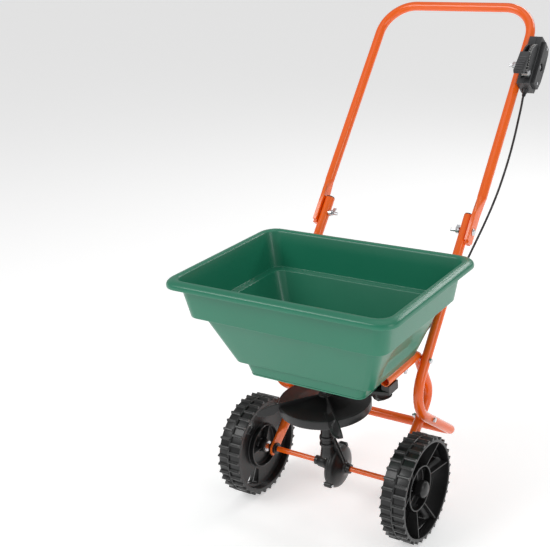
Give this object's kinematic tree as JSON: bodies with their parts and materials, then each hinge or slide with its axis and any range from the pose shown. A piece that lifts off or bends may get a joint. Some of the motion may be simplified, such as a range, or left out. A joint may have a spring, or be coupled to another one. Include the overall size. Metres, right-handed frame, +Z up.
{
  "type": "broadcast spreader",
  "caption": "Walk-behind spreader with a bent-tube frame, a deep hopper, an axle-driven spinner disc, lugged wheels and a handle-mounted rate control",
  "frame": {"origin": "on the floor, under the middle of the box round the whole machine", "axes": "+X is the operator's right, +Y points back to the operator, +Z is up"},
  "size_m": [0.534, 0.8942, 1.0355],
  "materials": {
    "hopper_green": "moulded polypropylene, satin",
    "frame_orange": "glossy powder coat on steel",
    "wheel_black": "moulded, satin",
    "black_plastic": "moulded, fine texture",
    "control_grey": "moulded, satin",
    "cable_black": "smooth extruded sheath",
    "zinc": "bright zinc plate",
    "steel": "plain drawn steel",
    "gear_nylon": "natural nylon",
    "bronze": "sintered"
  },
  "bodies": {
    "chassis": {"hopper": "hopper_green", "floor_bushing": "black_plastic", "main_frame": "frame_orange", "frame_end_plugs": "black_plastic", "axle_bracket_left": "frame_orange", "axle_bracket_right": "frame_orange", "frame_bolts": "zinc", "frame_nuts": "zinc", "hopper_bolts": "zinc", "hopper_nuts": "zinc", "base_bracket": "black_plastic", "bracket_screws": "zinc", "cable_ferrule": "zinc", "gearbox_half_left": "black_plastic", "gearbox_half_right": "black_plastic", "gearbox_screws": "zinc", "gearbox_axle_bushes": "gear_nylon", "shaft_bush": "bronze", "axle_bushing_left": "black_plastic", "axle_bushing_right": "black_plastic", "pivot_bolts": "zinc", "control_cable": "cable_black"},
    "axle_drive": {"axle": "frame_orange", "wheel_right": "wheel_black", "drive_pin": "zinc", "hub_cap_right": "wheel_black", "axle_washers": "zinc", "axle_collars": "black_plastic", "ring_gear": "gear_nylon", "gear_pin": "zinc", "retaining_pin": "zinc"},
    "free_wheel": {"wheel_left": "wheel_black", "hub_cap_left": "wheel_black"},
    "spinner": {"spinner_disc": "black_plastic", "spinner_pin": "zinc", "spinner_shaft": "steel", "pinion": "gear_nylon", "agitator_clip": "zinc"},
    "gate": {"gate_plate": "steel", "gate_wire": "zinc"},
    "handle": {"handle_tube": "frame_orange", "control_inner_half": "control_grey", "control_outer_half": "control_grey", "control_bolt": "zinc", "control_screws": "zinc", "cable_boot": "cable_black", "lever_bush": "steel"},
    "lever": {"control_lever": "control_grey"},
    "stop": {"stop_clip": "zinc"},
    "pivot_nut_left": {"wing_nut_left": "zinc"},
    "pivot_nut_right": {"wing_nut_right": "zinc"},
    "control_nut": {"control_wing_nut": "zinc"}
  },
  "joints": [
    {"name": "axle_spin", "type": "hinge", "parent": "chassis", "child": "axle_drive", "pos_m": [0, -0.24714, 0.115], "axis": [1, 0, 0], "continuous": true},
    {"name": "free_wheel_spin", "type": "hinge", "parent": "axle_drive", "child": "free_wheel", "pos_m": [-0.2, -0.24714, 0.115], "axis": [1, 0, 0], "continuous": true},
    {"name": "spinner_spin", "type": "hinge", "parent": "chassis", "child": "spinner", "pos_m": [0, -0.26514, 0.286], "axis": [0, 0, 1], "continuous": true},
    {"name": "gate_turn", "type": "hinge", "parent": "chassis", "child": "gate", "pos_m": [0, -0.26514, 0.348], "axis": [0, 0, 1], "range_deg": [-17.3, 3.1]},
    {"name": "handle_fold", "type": "hinge", "parent": "chassis", "child": "handle", "pos_m": [0, 0.05693, 0.58832], "axis": [-1, 0, 0], "range_deg": [0, 120], "deforming": ["control_cable"]},
    {"name": "lever_swing", "type": "hinge", "parent": "handle", "child": "lever", "pos_m": [0.2225, 0.33248, 0.9053], "axis": [1, 0, 0], "range_deg": [-46, 8]},
    {"name": "stop_slide", "type": "hinge", "parent": "handle", "child": "stop", "pos_m": [0.2225, 0.33248, 0.9053], "axis": [1, 0, 0], "range_deg": [-5, 4]},
    {"name": "pivot_nut_left_turn", "type": "hinge", "parent": "chassis", "child": "pivot_nut_left", "pos_m": [-0.165, 0.05693, 0.58832], "axis": [-1, 0, 0], "continuous": true},
    {"name": "pivot_nut_right_turn", "type": "hinge", "parent": "chassis", "child": "pivot_nut_right", "pos_m": [0.165, 0.05693, 0.58832], "axis": [1, 0, 0], "continuous": true},
    {"name": "control_nut_turn", "type": "hinge", "parent": "handle", "child": "control_nut", "pos_m": [0.183, 0.33248, 0.9053], "axis": [1, 0, 0], "continuous": true}
  ],
  "couplings": [
    {"joint": "spinner_spin", "follows": "axle_spin", "ratio": -4},
    {"joint": "gate_turn", "follows": "lever_swing", "ratio": 0.37}
  ]
}
